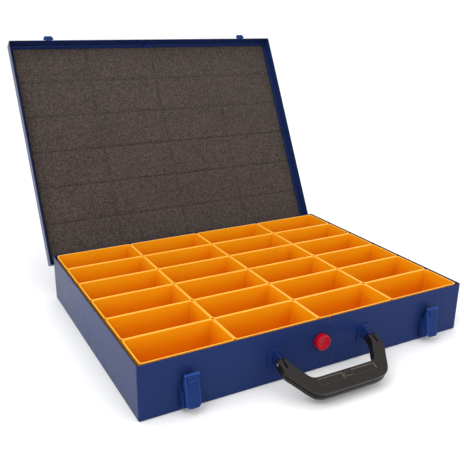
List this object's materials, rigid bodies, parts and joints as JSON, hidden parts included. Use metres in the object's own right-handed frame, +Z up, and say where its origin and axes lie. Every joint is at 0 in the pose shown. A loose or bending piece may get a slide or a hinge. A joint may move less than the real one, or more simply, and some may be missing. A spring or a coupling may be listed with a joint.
{
  "type": "parts sorting tray",
  "caption": "Flat lidded steel case, shown open, with a grid of lift-out open bins, a foam-lined hinged lid, rocker latches, a push lock and a drop handle; it sorts and carries small parts.",
  "frame": {"origin": "centre of the pan's flat underside", "axes": "+Z up, +X to the right when facing the latches and the handle, +Y towards the hinges"},
  "size_m": [0.446, 0.575, 0.3516],
  "materials": {
    "case_paint": "smooth semi-gloss dark blue stove enamel",
    "fitting_paint": "glossy blue enamel, a little brighter than the case",
    "bin_plastic": "satin orange-yellow moulded plastic, slightly translucent at the rims",
    "foam": "open-cell foam sheet, dark grey-brown, dented where the bins' rims press",
    "black_plastic": "satin black moulded plastic",
    "red_plastic": "glossy red moulded plastic",
    "zinc": "bright zinc plate",
    "spring_steel": "drawn spring wire"
  },
  "bodies": {
    "base": {"base_shell": "case_paint", "latch_bracket_left": "fitting_paint", "latch_bracket_right": "fitting_paint", "lever_pin_left": "fitting_paint", "lever_pin_right": "fitting_paint", "handle_bracket_left": "fitting_paint", "handle_bracket_right": "fitting_paint", "handle_pin_left": "zinc", "handle_pin_right": "zinc", "hinge_base_leaf_left": "fitting_paint", "hinge_base_leaf_right": "fitting_paint", "hinge_pin_left": "zinc", "hinge_pin_right": "zinc"},
    "lid": {"lid_shell": "case_paint", "lid_foam": "foam", "lid_keeper_left": "fitting_paint", "lid_keeper_right": "fitting_paint", "lock_keeper": "fitting_paint", "hinge_lid_leaf_left": "fitting_paint", "hinge_lid_leaf_right": "fitting_paint"},
    "lever_left": {"latch_lever_left": "fitting_paint", "claw_pin_left": "fitting_paint"},
    "lever_right": {"latch_lever_right": "fitting_paint", "claw_pin_right": "fitting_paint"},
    "claw_left": {"latch_claw_left": "fitting_paint"},
    "claw_right": {"latch_claw_right": "fitting_paint"},
    "handle": {"handle": "black_plastic"},
    "lock": {"lock_button": "red_plastic", "lock_catch": "fitting_paint", "lock_spring": "spring_steel"},
    "bin_r1c1": {"insert_bin_r1c1": "bin_plastic"},
    "bin_r1c2": {"insert_bin_r1c2": "bin_plastic"},
    "bin_r1c3": {"insert_bin_r1c3": "bin_plastic"},
    "bin_r1c4": {"insert_bin_r1c4": "bin_plastic"},
    "bin_r2c1": {"insert_bin_r2c1": "bin_plastic"},
    "bin_r2c2": {"insert_bin_r2c2": "bin_plastic"},
    "bin_r2c3": {"insert_bin_r2c3": "bin_plastic"},
    "bin_r2c4": {"insert_bin_r2c4": "bin_plastic"},
    "bin_r3c1": {"insert_bin_r3c1": "bin_plastic"},
    "bin_r3c2": {"insert_bin_r3c2": "bin_plastic"},
    "bin_r3c3": {"insert_bin_r3c3": "bin_plastic"},
    "bin_r3c4": {"insert_bin_r3c4": "bin_plastic"},
    "bin_r4c1": {"insert_bin_r4c1": "bin_plastic"},
    "bin_r4c2": {"insert_bin_r4c2": "bin_plastic"},
    "bin_r4c3": {"insert_bin_r4c3": "bin_plastic"},
    "bin_r4c4": {"insert_bin_r4c4": "bin_plastic"},
    "bin_r5c1": {"insert_bin_r5c1": "bin_plastic"},
    "bin_r5c2": {"insert_bin_r5c2": "bin_plastic"},
    "bin_r5c3": {"insert_bin_r5c3": "bin_plastic"},
    "bin_r5c4": {"insert_bin_r5c4": "bin_plastic"},
    "bin_r6c1": {"insert_bin_r6c1": "bin_plastic"},
    "bin_r6c2": {"insert_bin_r6c2": "bin_plastic"},
    "bin_r6c3": {"insert_bin_r6c3": "bin_plastic"},
    "bin_r6c4": {"insert_bin_r6c4": "bin_plastic"}
  },
  "joints": [
    {"name": "lid_hinge", "type": "hinge", "parent": "base", "child": "lid", "pos_m": [0, 0.1695, 0.0475], "axis": [1, 0, 0], "range_deg": [0, 117.6]},
    {"name": "handle_swing", "type": "hinge", "parent": "base", "child": "handle", "pos_m": [0, -0.1815, 0.033], "axis": [-1, 0, 0], "range_deg": [-67, 113]},
    {"name": "lever_rock_left", "type": "hinge", "parent": "base", "child": "lever_left", "pos_m": [-0.165, -0.1705, 0.024], "axis": [1, 0, 0], "range_deg": [-12, 9.5]},
    {"name": "claw_swing_left", "type": "hinge", "parent": "lever_left", "child": "claw_left", "pos_m": [-0.165, -0.1733, 0.04424], "axis": [-1, 0, 0], "range_deg": [0, 180]},
    {"name": "lever_rock_right", "type": "hinge", "parent": "base", "child": "lever_right", "pos_m": [0.165, -0.1705, 0.024], "axis": [1, 0, 0], "range_deg": [-12, 9.5]},
    {"name": "claw_swing_right", "type": "hinge", "parent": "lever_right", "child": "claw_right", "pos_m": [0.165, -0.1733, 0.04424], "axis": [-1, 0, 0], "range_deg": [0, 180]},
    {"name": "lock_press", "type": "slide", "parent": "base", "child": "lock", "axis": [0, 1, 0], "range_m": [0, 0.001], "stiffness_N_per_m": 800, "springref_m": -0.002, "deforming": ["lock_spring"]},
    {"name": "bin_lift_r1c1", "type": "slide", "parent": "base", "child": "bin_r1c1", "axis": [0, 0, -1], "range_m": [-0.07, 0]},
    {"name": "bin_lift_r1c2", "type": "slide", "parent": "base", "child": "bin_r1c2", "axis": [0, 0, -1], "range_m": [-0.07, 0]},
    {"name": "bin_lift_r1c3", "type": "slide", "parent": "base", "child": "bin_r1c3", "axis": [0, 0, -1], "range_m": [-0.07, 0]},
    {"name": "bin_lift_r1c4", "type": "slide", "parent": "base", "child": "bin_r1c4", "axis": [0, 0, -1], "range_m": [-0.07, 0]},
    {"name": "bin_lift_r2c1", "type": "slide", "parent": "base", "child": "bin_r2c1", "axis": [0, 0, -1], "range_m": [-0.07, 0]},
    {"name": "bin_lift_r2c2", "type": "slide", "parent": "base", "child": "bin_r2c2", "axis": [0, 0, -1], "range_m": [-0.07, 0]},
    {"name": "bin_lift_r2c3", "type": "slide", "parent": "base", "child": "bin_r2c3", "axis": [0, 0, -1], "range_m": [-0.07, 0]},
    {"name": "bin_lift_r2c4", "type": "slide", "parent": "base", "child": "bin_r2c4", "axis": [0, 0, -1], "range_m": [-0.07, 0]},
    {"name": "bin_lift_r3c1", "type": "slide", "parent": "base", "child": "bin_r3c1", "axis": [0, 0, -1], "range_m": [-0.07, 0]},
    {"name": "bin_lift_r3c2", "type": "slide", "parent": "base", "child": "bin_r3c2", "axis": [0, 0, -1], "range_m": [-0.07, 0]},
    {"name": "bin_lift_r3c3", "type": "slide", "parent": "base", "child": "bin_r3c3", "axis": [0, 0, -1], "range_m": [-0.07, 0]},
    {"name": "bin_lift_r3c4", "type": "slide", "parent": "base", "child": "bin_r3c4", "axis": [0, 0, -1], "range_m": [-0.07, 0]},
    {"name": "bin_lift_r4c1", "type": "slide", "parent": "base", "child": "bin_r4c1", "axis": [0, 0, -1], "range_m": [-0.07, 0]},
    {"name": "bin_lift_r4c2", "type": "slide", "parent": "base", "child": "bin_r4c2", "axis": [0, 0, -1], "range_m": [-0.07, 0]},
    {"name": "bin_lift_r4c3", "type": "slide", "parent": "base", "child": "bin_r4c3", "axis": [0, 0, -1], "range_m": [-0.07, 0]},
    {"name": "bin_lift_r4c4", "type": "slide", "parent": "base", "child": "bin_r4c4", "axis": [0, 0, -1], "range_m": [-0.07, 0]},
    {"name": "bin_lift_r5c1", "type": "slide", "parent": "base", "child": "bin_r5c1", "axis": [0, 0, -1], "range_m": [-0.07, 0]},
    {"name": "bin_lift_r5c2", "type": "slide", "parent": "base", "child": "bin_r5c2", "axis": [0, 0, -1], "range_m": [-0.07, 0]},
    {"name": "bin_lift_r5c3", "type": "slide", "parent": "base", "child": "bin_r5c3", "axis": [0, 0, -1], "range_m": [-0.07, 0]},
    {"name": "bin_lift_r5c4", "type": "slide", "parent": "base", "child": "bin_r5c4", "axis": [0, 0, -1], "range_m": [-0.07, 0]},
    {"name": "bin_lift_r6c1", "type": "slide", "parent": "base", "child": "bin_r6c1", "axis": [0, 0, -1], "range_m": [-0.07, 0]},
    {"name": "bin_lift_r6c2", "type": "slide", "parent": "base", "child": "bin_r6c2", "axis": [0, 0, -1], "range_m": [-0.07, 0]},
    {"name": "bin_lift_r6c3", "type": "slide", "parent": "base", "child": "bin_r6c3", "axis": [0, 0, -1], "range_m": [-0.07, 0]},
    {"name": "bin_lift_r6c4", "type": "slide", "parent": "base", "child": "bin_r6c4", "axis": [0, 0, -1], "range_m": [-0.07, 0]}
  ]
}
